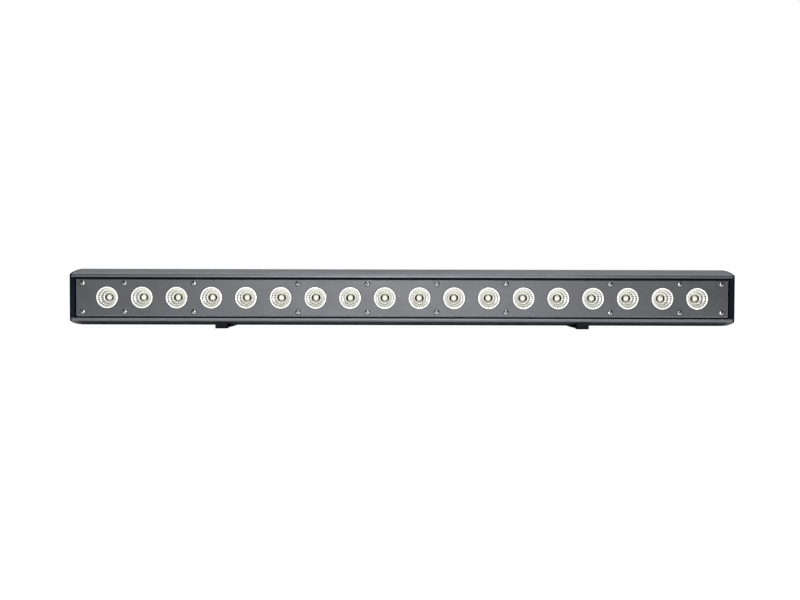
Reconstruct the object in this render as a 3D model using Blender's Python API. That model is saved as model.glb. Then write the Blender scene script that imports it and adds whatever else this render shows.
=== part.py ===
"""LED strip batten: an 18-lens wall-wash bar that stands or hangs on two folding brackets.

Bar coordinates, in millimetres, are (x, d, h): x runs along the bar, d is the depth behind the
front edge of the lips, and h is the height over the bar's centre line. The lenses face -Y.
"""
from math import cos, pi, radians, sin

import bmesh
import bpy
from mathutils import Matrix, Vector

MM = 0.001

# Extruded body: an H section with a front channel, a web and a rear chamber
HALF_LENGTH = 500.0
SHELL_HALF = 497.5
FACETS = [(0.9, 35.3), (14.0, 38.6), (36.0, 41.9), (58.0, 43.6), (76.0, 43.6)]
WALL = 2.6
BODY_DEPTH = FACETS[-1][0]
BODY_TOP = FACETS[-1][1]
GROOVE_WIDTH, GROOVE_DEPTH = 1.2, 0.7
LIP_INNER, LIP_FLAT, LIP_THICK = 30.8, 33.0, 2.2
RAIL_FRONT, RAIL_ARM, RAIL_REAR = 6.4, 11.0, 14.0
RAIL_LOW, RAIL_HIGH = 16.0, 27.3
WEB_FRONT, WEB_REAR = 31.0, 35.0
LEDGE_FRONT, LEDGE_REAR, LEDGE_INNER = 71.2, 73.7, 36.8
REAR_WALL = 2.4
WIRE_HOLE_RADIUS, WIRE_HOLE_H = 3.5, 32.0
CAP_BLOCK_X, CAP_BLOCK_FRONT = 492.8, 1.0

# Front plate, its screws and its gasket
PLATE_FRONT, PLATE_REAR = 2.0, 5.0
PLATE_HALF_LENGTH, PLATE_HALF_HEIGHT, PLATE_CHAMFER = 491.2, 28.5, 1.2
SCREW_ROW = 21.5
SCREW_HEAD, SCREW_SHANK, SCREW_FIT = 3.85, 2.0, 0.35
SINK_EXTRA = 0.55
END_SCREW_X = 481.5
SCREW_AFTER_LENS = [1, 3, 6, 8, 10, 12, 15, 17]
SLOT_FRONT, SLOT_REAR = 8.4, 12.0
SLOT_HALF, SLOT_MOUTH_HALF = 3.9, 2.4
STRIP_HALF_LENGTH = 486.0
GASKET_LENGTH, GASKET_HEIGHT, GASKET_BAND = 489.0, 26.9, 2.5

# Optics
LENSES = 18
PITCH = 52.3
LENS_RADIUS, LENS_FRONT, LENS_FLANGE = 16.2, 2.5, 18.0
CONE_FRONT, CONE_REAR = (15.4, 6.1), (7.0, 24.0)  # radius, depth
LED_CUP = [(4.5, 24.0), (4.0, 18.5)]
PER_BOARD = 6
BOARD_GAP = 4.6
BOARD_THICK, BOARD_HALF = 1.6, 26.0
TRAY_FRONT, TRAY_REAR, TRAY_HALF, TRAY_WALL = 15.0, 28.8, 24.0, 1.5
LED_DOME = [(0.0, 25.6), (2.2, 26.4), (3.4, 27.4), (3.4, 29.6), (0.0, 29.6)]

# Stand-off between pieces that touch on the real bar
GAP = 0.3

# Electronics
SUPPLY_X, SUPPLY_REAR, SUPPLY_HALF = (-430.0, -222.0), 62.0, 29.0
CONTROL_X, CONTROL_D, CONTROL_HALF = (-60.0, 95.0), (58.0, 59.6), 30.0
LEAD_RADIUS = 2.2

# Rear cover and what is mounted on it: sizes are half widths and half heights
COVER_FRONT, COVER_REAR = 74.0, 75.8
FACE = COVER_REAR + GAP
OUTLET_X, INLET_X = -190.0, -142.0
MAINS_FRONT, MAINS_FLANGE = 53.0, 2.2
INLET_PLATE, INLET_BODY = (15.5, 18.0), (13.5, 16.0)
OUTLET_PLATE, OUTLET_BODY = (15.5, 12.5), (13.5, 10.5)
CORNER = 2.0
PIN_PLACES, SLOT_PLACES = [(-7, -6.5), (0, -3.5), (7, -6.5)], [(-7, -1.5), (0, 1.5), (7, -1.5)]
PIN_RECESS = 5.2
DRAWER_FRONT, DRAWER_WIDE, DRAWER_H = 57.0, 9.7, (6.0, 13.6)
DISPLAY_X, DISPLAY_SIZE = -25.0, (26.7, 14.7)
BUTTON_XS = [20.0, 36.0, 52.0, 68.0]
BUTTON_RADIUS, BUTTON_COLLAR, BUTTON_STEM = 4.0, 5.2, 1.5
BUTTON_INNER, BUTTON_TOP = 67.5, 77.7
DMX_IN_X, DMX_OUT_X = 118.0, 158.0
DMX_PLATE, DMX_FLANGE = (13.0, 15.5), 2.0
DMX_FRONT, BARREL_RADIUS, WELL_RADIUS, WELL_DEPTH = 57.0, 11.6, 8.0, 14.5
MOAT_INNER, MOAT_OUTER, MOAT_DEPTH = 7.1, 8.6, 10.0
CONTACT_CIRCLE, PIN_RADIUS, CONTACT_HOLE = 4.0, 1.2, 1.4
LATCH_FRONT, LATCH_WIDE, LATCH_H = 68.5, 4.3, (9.9, 13.3)
EYE_X, EYE_H, EYE_RADIUS, EYE_HOLE, EYE_THICK = 0.0, 30.5, 10.0, 6.2, 3.0
EYE_FOOT, EYE_FOOT_THICK = (14.0, 5.5), 2.5

# Folding brackets
BRACKET_X = 273.0
PIVOT_D, PIVOT_H = 88.5, -33.0
STRAP_TOP = -BODY_TOP - GAP
STRAP_THICK, STRAP_WIDTH = 1.5, 20.0
STRAP_REAR = 96.9
CLAMP_HOLE_D, CLAMP_HOLE_RADIUS = 58.0, 5.5
CLAMP_BOSS_RADIUS, CLAMP_BOSS_HEIGHT = 9.4, 0.5
STRAP_CORNER = 4.0
EAR_THICK, EAR_RADIUS = 2.0, 8.4
HINGE_FOOT, HINGE_RADIUS, HINGE_TOP, HINGE_STEP, HINGE_BOTTOM = 3.0, 7.5, -14.0, -24.0, -40.5
HINGE_PLAY = 0.4
BOLT_RADIUS, BOLT_FIT, BOLT_END = 2.4, 0.35, 15.0
KNOB_RADIUS, KNOB_THICK, HUB_RADIUS, HUB_THICK = 11.5, 11.0, 6.0, 2.5
NUT_RADIUS, NUT_THICK = 4.6, 4.0
PAD_D, PAD_RADIUS, PAD_HEIGHT = 84.0, 8.4, 0.9
BLOCK_FRONT, BLOCK_REAR, BLOCK_HALF, BLOCK_CLEARANCE, BLOCK_CHAMFER = 4.0, 20.0, 8.9, 0.4, 0.8
STRAP_FRONT = BLOCK_REAR + GAP
TONGUE_FRONT, TONGUE_HALF = 7.4, 6.0

# World placing: the pads stand on z = 0 and the depth is centred on y = 0
TOTAL_DEPTH = PIVOT_D + KNOB_RADIUS
CENTRE_LINE_Z = -(STRAP_TOP - STRAP_THICK - GAP - PAD_HEIGHT)

LOOKS = {  # base colour, roughness, metallic
    "painted": ((0.12, 0.125, 0.14), 0.45, 0.6),
    "black": ((0.02, 0.022, 0.028), 0.5, 0.0),
    "steel": ((0.62, 0.62, 0.62), 0.3, 1.0),
    "lens": ((0.85, 0.86, 0.84), 0.1, 0.0),
    "rubber": ((0.03, 0.03, 0.03), 0.85, 0.0),
    "board": ((0.85, 0.86, 0.85), 0.5, 0.0),
    "green": ((0.03, 0.18, 0.08), 0.5, 0.0),
    "zinc": ((0.5, 0.51, 0.52), 0.4, 0.9),
    "window": ((0.02, 0.03, 0.05), 0.08, 0.0),
    "cable": ((0.35, 0.02, 0.02), 0.6, 0.0),
}
AXES = {
    "X": Matrix.Rotation(pi / 2, 4, "Y"),
    "Y": Matrix.Rotation(-pi / 2, 4, "X"),
    "Z": Matrix.Identity(4),
}


# ---------------------------------------------------------------- mesh helpers

def box(xs, ds, hs):
    """A box between two limits along x, d and h."""
    bm = bmesh.new()
    bmesh.ops.create_cube(bm, size=1.0)
    bmesh.ops.scale(bm, verts=bm.verts, vec=(xs[1] - xs[0], ds[1] - ds[0], hs[1] - hs[0]))
    middle = Vector((xs[0] + xs[1], ds[0] + ds[1], hs[0] + hs[1])) / 2
    bmesh.ops.translate(bm, verts=bm.verts, vec=middle)
    return bm


def prism(outline, axis, start, end):
    """Extrude an outline along an axis; its points are the two other coordinates, in order."""
    place = {
        "X": lambda a, b: (start, a, b),
        "Y": lambda a, b: (a, start, b),
        "Z": lambda a, b: (a, b, start),
    }[axis]
    way = {"X": Vector((1, 0, 0)), "Y": Vector((0, 1, 0)), "Z": Vector((0, 0, 1))}[axis]
    bm = bmesh.new()
    face = bm.faces.new([bm.verts.new(place(a, b)) for a, b in outline])
    made = bmesh.ops.extrude_face_region(bm, geom=[face])
    moved = [item for item in made["geom"] if isinstance(item, bmesh.types.BMVert)]
    bmesh.ops.translate(bm, verts=moved, vec=way * (end - start))
    bmesh.ops.recalc_face_normals(bm, faces=bm.faces)
    return bm


def lathe(profile, centre, axis, steps):
    """Spin (radius, distance along the axis) points round an axis through centre."""
    bm = bmesh.new()
    verts = [bm.verts.new((radius, 0.0, along)) for radius, along in profile]
    edges = [bm.edges.new(pair) for pair in zip(verts, verts[1:])]
    if profile[0][0] > 0.0:
        edges.append(bm.edges.new((verts[-1], verts[0])))
    bmesh.ops.spin(bm, geom=verts + edges, cent=(0, 0, 0), axis=(0, 0, 1), angle=2 * pi, steps=steps)
    bmesh.ops.remove_doubles(bm, verts=bm.verts, dist=1e-4)
    bmesh.ops.transform(bm, verts=bm.verts, matrix=Matrix.Translation(centre) @ AXES[axis])
    bmesh.ops.recalc_face_normals(bm, faces=bm.faces)
    return bm


def rod(radius, centre, axis, start, end, steps):
    """A plain cylinder along an axis, from start to end past centre."""
    return lathe([(0.0, start), (radius, start), (radius, end), (0.0, end)], centre, axis, steps)


def arc(middle, radius, start, end, steps):
    """Points of a round stretch of an outline, in degrees."""
    angles = [radians(start + (end - start) * i / steps) for i in range(steps + 1)]
    return [(middle[0] + radius * cos(a), middle[1] + radius * sin(a)) for a in angles]


def rounded(middle, half_a, half_b, radius, steps=3):
    """The outline of a rectangle with round corners."""
    points = []
    for sign_a, sign_b, start in [(1, 1, 0), (-1, 1, 90), (-1, -1, 180), (1, -1, 270)]:
        corner = (middle[0] + sign_a * (half_a - radius), middle[1] + sign_b * (half_b - radius))
        points += arc(corner, radius, start, start + 90, steps)
    return points


def merged(parts):
    """Put solids that don't touch into one mesh, as a single tool for boolean()."""
    bm = bmesh.new()
    for part in parts:
        mesh = bpy.data.meshes.new("scratch")
        part.to_mesh(mesh)
        part.free()
        bm.from_mesh(mesh)
        bpy.data.meshes.remove(mesh)
    return bm


def boolean(operation, body, *tools):
    """The body after a DIFFERENCE or UNION with each tool in turn."""
    scratch = []
    for bm in (body, *tools):
        mesh = bpy.data.meshes.new("scratch")
        bm.to_mesh(mesh)
        bm.free()
        obj = bpy.data.objects.new("scratch", mesh)
        bpy.context.collection.objects.link(obj)
        scratch.append(obj)
    for tool in scratch[1:]:
        step = scratch[0].modifiers.new("step", "BOOLEAN")
        step.operation = operation
        step.object = tool
    result = bmesh.new()
    result.from_object(scratch[0], bpy.context.evaluated_depsgraph_get())
    for obj in scratch:
        mesh = obj.data
        bpy.data.objects.remove(obj)
        bpy.data.meshes.remove(mesh)
    return result


def world(point):
    """Bar coordinates in millimetres as world coordinates in metres."""
    x, d, h = point
    return Vector((x, d - TOTAL_DEPTH / 2, h + CENTRE_LINE_Z)) * MM


def node(name, bm, look, origin=(0.0, 0.0, 0.0)):
    """Make the named object; origin is its own zero point, on the axis of a moving piece."""
    bmesh.ops.translate(bm, verts=bm.verts, vec=-Vector(origin))
    bmesh.ops.scale(bm, verts=bm.verts, vec=(MM, MM, MM))
    mesh = bpy.data.meshes.new(name)
    bm.to_mesh(mesh)
    bm.free()
    mesh.shade_smooth()
    mesh.set_sharp_from_angle(angle=radians(35))
    mesh.materials.append(material(name, look))
    obj = bpy.data.objects.new(name, mesh)
    obj.location = world(origin)
    bpy.context.collection.objects.link(obj)
    return obj


def material(name, look):
    colour, roughness, metallic = LOOKS[look]
    made = bpy.data.materials.new(name)
    made.use_nodes = True
    shader = made.node_tree.nodes["Principled BSDF"]
    shader.inputs["Base Color"].default_value = (*colour, 1.0)
    shader.inputs["Roughness"].default_value = roughness
    shader.inputs["Metallic"].default_value = metallic
    return made


# ---------------------------------------------------------------- extruded body

def outer_h(d):
    """Height of the faceted top surface at a depth."""
    for (d0, h0), (d1, h1) in zip(FACETS, FACETS[1:]):
        if d <= d1:
            return h0 + (h1 - h0) * (d - d0) / (d1 - d0)
    return BODY_TOP


def inner_h(d):
    return outer_h(d) - WALL


def skin_top():
    """The outside of the upper half, front to rear, with a groove where two facets meet."""
    points = [(0.0, LIP_FLAT), FACETS[0]]
    for d, _ in FACETS[1:-1]:
        near, far = d - GROOVE_WIDTH / 2, d + GROOVE_WIDTH / 2
        points += [(near, outer_h(near)), (near + 0.1, outer_h(near) - GROOVE_DEPTH)]
        points += [(far - 0.1, outer_h(far) - GROOVE_DEPTH), (far, outer_h(far))]
    return points + [(BODY_DEPTH, BODY_TOP)]


def rear_chamber_top():
    """From the rear edge of the wall forwards to the web, past the ledge for the rear cover."""
    return [
        (BODY_DEPTH, BODY_TOP - REAR_WALL), (LEDGE_REAR, BODY_TOP - REAR_WALL),
        (LEDGE_REAR, LEDGE_INNER), (LEDGE_FRONT, LEDGE_INNER),
        *[(d, inner_h(d)) for d in (LEDGE_FRONT, FACETS[3][0], FACETS[2][0], WEB_REAR)],
    ]


def front_channel_top():
    """From the web forwards to the lip, round the rail with its T-slot."""
    mouth_low, mouth_high = SCREW_ROW - SLOT_MOUTH_HALF, SCREW_ROW + SLOT_MOUTH_HALF
    slot_low, slot_high = SCREW_ROW - SLOT_HALF, SCREW_ROW + SLOT_HALF
    return [
        (WEB_FRONT, inner_h(WEB_FRONT)), (RAIL_REAR, inner_h(RAIL_REAR)),
        (RAIL_REAR, RAIL_LOW), (RAIL_FRONT, RAIL_LOW), (RAIL_FRONT, mouth_low),
        (SLOT_FRONT, mouth_low), (SLOT_FRONT, slot_low), (SLOT_REAR, slot_low),
        (SLOT_REAR, slot_high), (SLOT_FRONT, slot_high), (SLOT_FRONT, mouth_high),
        (RAIL_FRONT, mouth_high), (RAIL_FRONT, RAIL_HIGH), (RAIL_ARM, RAIL_HIGH),
        (RAIL_ARM, inner_h(RAIL_ARM)), (LIP_THICK, LIP_FLAT), (LIP_THICK, LIP_INNER),
        (0.0, LIP_INNER),
    ]


def mirrored(points):
    return [(d, -h) for d, h in reversed(points)]


def housing():
    outside, chamber, channel = skin_top(), rear_chamber_top(), front_channel_top()
    outline = outside + chamber + mirrored(chamber) + mirrored(outside)
    outline += mirrored(channel) + channel
    body = prism(outline, "X", -SHELL_HALF, SHELL_HALF)
    span = WEB_REAR - WEB_FRONT + 2
    holes = [
        rod(WIRE_HOLE_RADIUS, (x, WEB_FRONT - 1, WIRE_HOLE_H), "Y", 0.0, span, 12)
        for x in (-PER_BOARD / 2 * PITCH, PER_BOARD / 2 * PITCH)
    ]
    node("housing", boolean("DIFFERENCE", body, merged(holes)), "painted")


def end_caps():
    """Thin black plates with an inner block that closes the front channel between the lips."""
    outside = [(0.0, LIP_FLAT), *FACETS]
    outline = outside + mirrored(outside)
    inner_face, block_half = SHELL_HALF + GAP, LIP_INNER - 0.5
    for name, side in (("end_cap_left", -1), ("end_cap_right", 1)):
        plate = prism(outline, "X", side * inner_face, side * HALF_LENGTH)
        span = sorted((side * CAP_BLOCK_X, side * (inner_face + 1)))
        block = box(span, (CAP_BLOCK_FRONT, RAIL_FRONT - GAP), (-block_half, block_half))
        node(name, boolean("UNION", plate, block), "black")


# ---------------------------------------------------------------- front plate and optics

def lens_x(number):
    """Place of lens 1 to 18 along the bar."""
    return (number - (LENSES + 1) / 2) * PITCH


def screw_xs():
    between = [lens_x(number + 0.5) for number in SCREW_AFTER_LENS]
    return [-END_SCREW_X, *between, END_SCREW_X]


def front_panel():
    plate = box((-PLATE_HALF_LENGTH, PLATE_HALF_LENGTH), (PLATE_FRONT, PLATE_REAR),
                (-PLATE_HALF_HEIGHT, PLATE_HALF_HEIGHT))
    rim = [edge for edge in plate.edges if all(v.co.y < PLATE_FRONT + 0.1 for v in edge.verts)]
    bmesh.ops.bevel(plate, geom=rim, offset=PLATE_CHAMFER, segments=1, affect="EDGES")
    front, rear = PLATE_FRONT - 1, PLATE_REAR + 1
    bore, mouth = SCREW_SHANK + SCREW_FIT, SCREW_HEAD + SINK_EXTRA
    seat = PLATE_FRONT + mouth - bore
    sink = [(0.0, front), (mouth, front), (mouth, PLATE_FRONT), (bore, seat), (bore, rear), (0.0, rear)]
    cuts = [rod(LENS_RADIUS + GAP, (lens_x(n), 0, 0), "Y", front, rear, 20)
            for n in range(1, LENSES + 1)]
    cuts += [lathe(sink, (x, 0, h), "Y", 8) for x in screw_xs() for h in (-SCREW_ROW, SCREW_ROW)]
    node("front_panel", boolean("DIFFERENCE", plate, merged(cuts)), "painted")


def gasket():
    front, rear = PLATE_REAR + GAP, RAIL_FRONT - GAP
    long, high = GASKET_LENGTH - GASKET_BAND, GASKET_HEIGHT - GASKET_BAND
    ring = box((-GASKET_LENGTH, GASKET_LENGTH), (front, rear), (-GASKET_HEIGHT, GASKET_HEIGHT))
    hole = box((-long, long), (front - 1, rear + 1), (-high, high))
    node("panel_gasket", boolean("DIFFERENCE", ring, hole), "rubber")


def screw_strips():
    """Tapped bars in the T-slots, each one with its ten countersunk screws."""
    for name, row in (("lower_screw_strip", -SCREW_ROW), ("upper_screw_strip", SCREW_ROW)):
        half = SLOT_HALF - GAP
        bar = box((-STRIP_HALF_LENGTH, STRIP_HALF_LENGTH), (SLOT_FRONT + GAP, SLOT_REAR - GAP),
                  (row - half, row + half))
        top, bottom = PLATE_FRONT + 0.1, SLOT_FRONT + 1.5
        shape = [(0.0, top), (SCREW_HEAD, top), (SCREW_SHANK, top + SCREW_HEAD - SCREW_SHANK),
                 (SCREW_SHANK, bottom), (0.0, bottom)]
        screws = [lathe(shape, (x, 0, row), "Y", 8) for x in screw_xs()]
        node(name, boolean("UNION", bar, merged(screws)), "steel")


def lens_cone(d):
    """Radius of a lens's reflecting cone at a depth."""
    (wide, front), (narrow, rear) = CONE_FRONT, CONE_REAR
    return wide - (d - front) * (wide - narrow) / (rear - front)


def lenses():
    """Turned reflector lenses: a flange behind the front plate, a cone, and a cup over the LED."""
    shape = [
        (0.0, LENS_FRONT), (LENS_RADIUS, LENS_FRONT), (LENS_RADIUS, PLATE_REAR + GAP),
        (LENS_FLANGE, PLATE_REAR + GAP), (LENS_FLANGE, RAIL_FRONT - GAP),
        CONE_FRONT, CONE_REAR, *LED_CUP, (0.0, LED_CUP[-1][1]),
    ]
    for number in range(1, LENSES + 1):
        centre = (lens_x(number), 0.0, 0.0)
        node(f"lens_{number:02d}", lathe(shape, centre, "Y", 12), "lens", centre)


def trays_and_boards():
    """Three lens trays and three LED boards; each serves six lenses."""
    half_length = (PER_BOARD * PITCH - BOARD_GAP) / 2
    inner, face = TRAY_HALF - TRAY_WALL, TRAY_FRONT + TRAY_WALL
    channel = [(TRAY_FRONT, -TRAY_HALF), (TRAY_FRONT, TRAY_HALF), (TRAY_REAR, TRAY_HALF),
               (TRAY_REAR, inner), (face, inner), (face, -inner), (TRAY_REAR, -inner),
               (TRAY_REAR, -TRAY_HALF)]
    seat = lens_cone(TRAY_FRONT) + 2.5 * GAP
    for index, name in enumerate(("left", "middle", "right")):
        numbers = range(index * PER_BOARD + 1, (index + 1) * PER_BOARD + 1)
        middle = sum(lens_x(n) for n in numbers) / PER_BOARD
        span = (middle - half_length, middle + half_length)
        holes = [rod(seat, (lens_x(n), TRAY_FRONT, 0), "Y", -1.0, TRAY_WALL + 1, 12) for n in numbers]
        tray = boolean("DIFFERENCE", prism(channel, "X", *span), merged(holes))
        node(f"lens_tray_{name}", tray, "black")
        back = WEB_FRONT - GAP
        board = box(span, (back - BOARD_THICK, back), (-BOARD_HALF, BOARD_HALF))
        leds = [lathe(LED_DOME, (lens_x(n), 0, 0), "Y", 8) for n in numbers]
        node(f"led_board_{name}", boolean("UNION", board, merged(leds)), "board")


# ---------------------------------------------------------------- rear chamber

def electronics():
    supply = box(SUPPLY_X, (WEB_REAR + GAP, SUPPLY_REAR), (-SUPPLY_HALF, SUPPLY_HALF))
    bmesh.ops.bevel(supply, geom=supply.edges[:], offset=1.5, segments=1, affect="EDGES")
    node("power_supply", supply, "zinc")
    front, rear = CONTROL_D
    board = box(CONTROL_X, CONTROL_D, (-CONTROL_HALF, CONTROL_HALF))
    display = box((DISPLAY_X - 23, DISPLAY_X + 23), (front + 1, COVER_FRONT - 1.5), (-11, 11))
    switches = [box((x - 3, x + 3), (front + 1, BUTTON_INNER - 1.1), (-3, 3)) for x in BUTTON_XS]
    chip = box((24, 44), (front - 6, rear - 1), (-22, -12))
    coil = box((60, 88), (front - 8, rear - 1), (10, 24))
    fitted = [display, *switches, chip, coil]
    node("control_board", boolean("UNION", board, merged(fitted)), "green")
    harness()


def harness():
    """Supply lead from the power supply, through the web, to the LED boards."""
    hole_x = PER_BOARD / 2 * PITCH
    route = [(SUPPLY_X[1] + 5, 48, 20), (-200, 43, 29), (-100, 42, WIRE_HOLE_H), (60, 42, WIRE_HOLE_H),
             (hole_x - 22, 42, WIRE_HOLE_H), (hole_x - 3, 40, WIRE_HOLE_H),
             (hole_x, WEB_FRONT + 2, WIRE_HOLE_H), (hole_x, WEB_FRONT - 7, WIRE_HOLE_H)]
    curve = bpy.data.curves.new("wiring_harness", "CURVE")
    curve.dimensions = "3D"
    curve.resolution_u = 3
    curve.bevel_depth = LEAD_RADIUS * MM
    curve.bevel_resolution = 1
    curve.use_fill_caps = True
    spline = curve.splines.new("BEZIER")
    spline.bezier_points.add(len(route) - 1)
    for point, place in zip(spline.bezier_points, route):
        point.co = Vector(place) * MM
        point.handle_left_type = point.handle_right_type = "AUTO"
    curve.materials.append(material("wiring_harness", "cable"))
    obj = bpy.data.objects.new("wiring_harness", curve)
    obj.location = world((0, 0, 0))
    bpy.context.collection.objects.link(obj)


def through_cover(outline):
    """A tool that cuts an (x, h) outline out of the rear cover."""
    return prism(outline, "Y", COVER_FRONT - 1, COVER_REAR + 1)


def rear_cover():
    half_length, half = SHELL_HALF - GAP, BODY_TOP - REAR_WALL - GAP
    plate = box((-half_length, half_length), (COVER_FRONT, COVER_REAR), (-half, half))
    around = 0.4
    blocks = [(INLET_X, INLET_BODY), (OUTLET_X, OUTLET_BODY), (DISPLAY_X, DISPLAY_SIZE)]
    cuts = [through_cover(rounded((x, 0), wide + around, high + around, 1.0))
            for x, (wide, high) in blocks]
    barrels = [through_cover(arc((x, 0), BARREL_RADIUS + around, 0, 342, 19))
               for x in (DMX_IN_X, DMX_OUT_X)]
    latch_hole = through_cover(rounded((DMX_OUT_X, 10.0), 6.0, 5.0, 0.6))
    cuts += [barrels[0], boolean("UNION", barrels[1], latch_hole)]
    cuts += [through_cover(arc((x, 0), BUTTON_RADIUS + 0.5, 0, 330, 11)) for x in BUTTON_XS]
    node("rear_cover", boolean("DIFFERENCE", plate, merged(cuts)), "painted")


def plate_and_body(x, plate, body, thick):
    """A socket's flange on the cover and its block behind it."""
    flange = prism(rounded((x, 0), *plate, CORNER), "Y", FACE, FACE + thick)
    wide, high = body
    block = box((x - wide, x + wide), (MAINS_FRONT, FACE + 1), (-high, high))
    return boolean("UNION", flange, block)


def power_inlet():
    """Mains inlet: a shrouded socket with three flat pins, and a pocket for the fuse drawer."""
    top, beyond = FACE + MAINS_FLANGE, FACE + 4
    socket = [(-12, -13.5), (12, -13.5), (12, -1.5), (8, 2.5), (-8, 2.5), (-12, -1.5)]
    socket = [(INLET_X + x, h) for x, h in socket]
    wide, (low, high) = DRAWER_WIDE, DRAWER_H
    pocket = box((INLET_X - wide - GAP, INLET_X + wide + GAP), (DRAWER_FRONT, beyond),
                 (low - GAP, high + GAP))
    cuts = [prism(socket, "Y", 61.3, beyond), pocket]
    pins = [box((INLET_X + x - 1, INLET_X + x + 1), (60.0, top - PIN_RECESS), (h - 2, h + 2))
            for x, h in PIN_PLACES]
    shell = plate_and_body(INLET_X, INLET_PLATE, INLET_BODY, MAINS_FLANGE)
    shell = boolean("DIFFERENCE", shell, merged(cuts))
    node("power_inlet", boolean("UNION", shell, merged(pins)), "black")
    drawer = box((INLET_X - wide, INLET_X + wide), (DRAWER_FRONT + GAP, top), DRAWER_H)
    tab = box((INLET_X - 5, INLET_X + 5), (FACE + 1, FACE + 3.6), (8.6, 11.0))
    origin = (INLET_X, FACE, sum(DRAWER_H) / 2)
    node("fuse_drawer", boolean("UNION", drawer, tab), "black", origin)


def power_outlet():
    """Mains link outlet: a raised block in a narrow moat, with three blind slots."""
    beyond = FACE + 4
    moat = boolean("DIFFERENCE",
                   box((OUTLET_X - 12.4, OUTLET_X + 12.4), (64.0, beyond), (-8.4, 8.4)),
                   box((OUTLET_X - 10.2, OUTLET_X + 10.2), (62.0, beyond + 2), (-6.2, 6.2)))
    slots = [box((OUTLET_X + x - 1.3, OUTLET_X + x + 1.3), (62.0, beyond), (h - 2.6, h + 2.6))
             for x, h in SLOT_PLACES]
    shell = plate_and_body(OUTLET_X, OUTLET_PLATE, OUTLET_BODY, MAINS_FLANGE)
    node("power_outlet", boolean("DIFFERENCE", shell, merged([moat, *slots])), "black")


def contacts(centre_x, radius, start, end, turn):
    """Three round data contacts on a circle."""
    places = arc((centre_x, 0), CONTACT_CIRCLE, turn, turn + 240, 2)
    return [rod(radius, (x, 0, h), "Y", start, end, 8) for x, h in places]


def data_sockets():
    """Round data inlet with pins, and a data outlet with a latch."""
    top = FACE + DMX_FLANGE
    flanges = [prism(rounded((x, 0), *DMX_PLATE, CORNER), "Y", FACE, top) for x in (DMX_IN_X, DMX_OUT_X)]
    barrels = [rod(BARREL_RADIUS, (x, 0, 0), "Y", DMX_FRONT, FACE + 1, 20) for x in (DMX_IN_X, DMX_OUT_X)]

    well = rod(WELL_RADIUS, (DMX_IN_X, 0, 0), "Y", top - WELL_DEPTH, top + 2, 20)
    shell = boolean("DIFFERENCE", boolean("UNION", flanges[0], barrels[0]), well)
    pins = contacts(DMX_IN_X, PIN_RADIUS, top - WELL_DEPTH - 1.5, top - PIN_RECESS, 30)
    node("dmx_inlet", boolean("UNION", shell, merged(pins)), "zinc")

    wide, (low, high) = LATCH_WIDE, LATCH_H
    hood = box((DMX_OUT_X - wide - 1.3, DMX_OUT_X + wide + 1.3), (62.0, FACE + 1), (6.0, high + 1.3))
    bottom = top - MOAT_DEPTH
    moat = lathe([(MOAT_OUTER, bottom), (MOAT_OUTER, top + 2), (MOAT_INNER, top + 2), (MOAT_INNER, bottom)],
                 (DMX_OUT_X, 0, 0), "Y", 20)
    holes = contacts(DMX_OUT_X, CONTACT_HOLE, bottom, top + 2, -30)
    pocket = box((DMX_OUT_X - wide - GAP, DMX_OUT_X + wide + GAP), (LATCH_FRONT - 2.5, top + 2),
                 (low - GAP, high + GAP))
    shell = boolean("UNION", flanges[1], barrels[1], hood)
    node("dmx_outlet", boolean("DIFFERENCE", shell, merged([moat, pocket, *holes])), "zinc")
    latch = box((DMX_OUT_X - wide, DMX_OUT_X + wide), (LATCH_FRONT, top + 1.7), LATCH_H)
    node("dmx_latch", latch, "steel", (DMX_OUT_X, FACE, sum(LATCH_H) / 2))


def menu():
    """Display window and four sprung menu buttons, each one with a collar behind the cover."""
    window = prism(rounded((DISPLAY_X, 0), *DISPLAY_SIZE, 1.3), "Y", COVER_FRONT + 0.1, COVER_REAR + 0.4)
    node("display_window", window, "window")
    collar = COVER_FRONT - GAP
    shape = [(0.0, BUTTON_INNER), (BUTTON_STEM, BUTTON_INNER), (BUTTON_STEM, collar - 1.1),
             (BUTTON_COLLAR, collar - 1.1), (BUTTON_COLLAR, collar), (BUTTON_RADIUS, collar),
             (BUTTON_RADIUS, BUTTON_TOP - 0.5), (BUTTON_RADIUS - 0.6, BUTTON_TOP), (0.0, BUTTON_TOP)]
    for number, x in enumerate(BUTTON_XS, 1):
        centre = (x, 0.0, 0.0)
        node(f"menu_button_{number}", lathe(shape, centre, "Y", 12), "black", centre)


def safety_eye():
    """Steel lug for the safety cable, on a foot bolted to the rear cover."""
    wide, high = EYE_FOOT
    foot = box((EYE_X - wide, EYE_X + wide), (FACE, FACE + EYE_FOOT_THICK), (EYE_H - high, EYE_H + high))
    middle = (EYE_X, FACE + EYE_RADIUS + 0.5)
    tip = arc(middle, EYE_RADIUS, 0, 180, 12)
    outline = [*tip, (EYE_X - EYE_RADIUS, FACE + 1), (EYE_X + EYE_RADIUS, FACE + 1)]
    lug = prism(outline, "Z", EYE_H - EYE_THICK / 2, EYE_H + EYE_THICK / 2)
    hole = rod(EYE_HOLE, (*middle, EYE_H), "Z", -EYE_THICK, EYE_THICK, 16)
    node("safety_eye", boolean("DIFFERENCE", boolean("UNION", foot, lug), hole), "steel")


# ---------------------------------------------------------------- folding brackets

def hinge_base(name, x):
    """Block on the rear cover that carries the bracket's bolt."""
    half = STRAP_WIDTH / 2 - EAR_THICK - HINGE_PLAY
    foot = FACE + HINGE_FOOT
    outline = [(FACE, HINGE_TOP), (FACE, HINGE_BOTTOM), (foot, HINGE_BOTTOM)]
    outline += arc((PIVOT_D, PIVOT_H), HINGE_RADIUS, -90, 90, 8) + [(foot, HINGE_STEP), (foot, HINGE_TOP)]
    block = prism(outline, "X", x - half, x + half)
    bore = rod(BOLT_RADIUS + BOLT_FIT, (x, PIVOT_D, PIVOT_H), "X", -half - 1, half + 1, 12)
    node(name, boolean("DIFFERENCE", block, bore), "painted")


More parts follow.
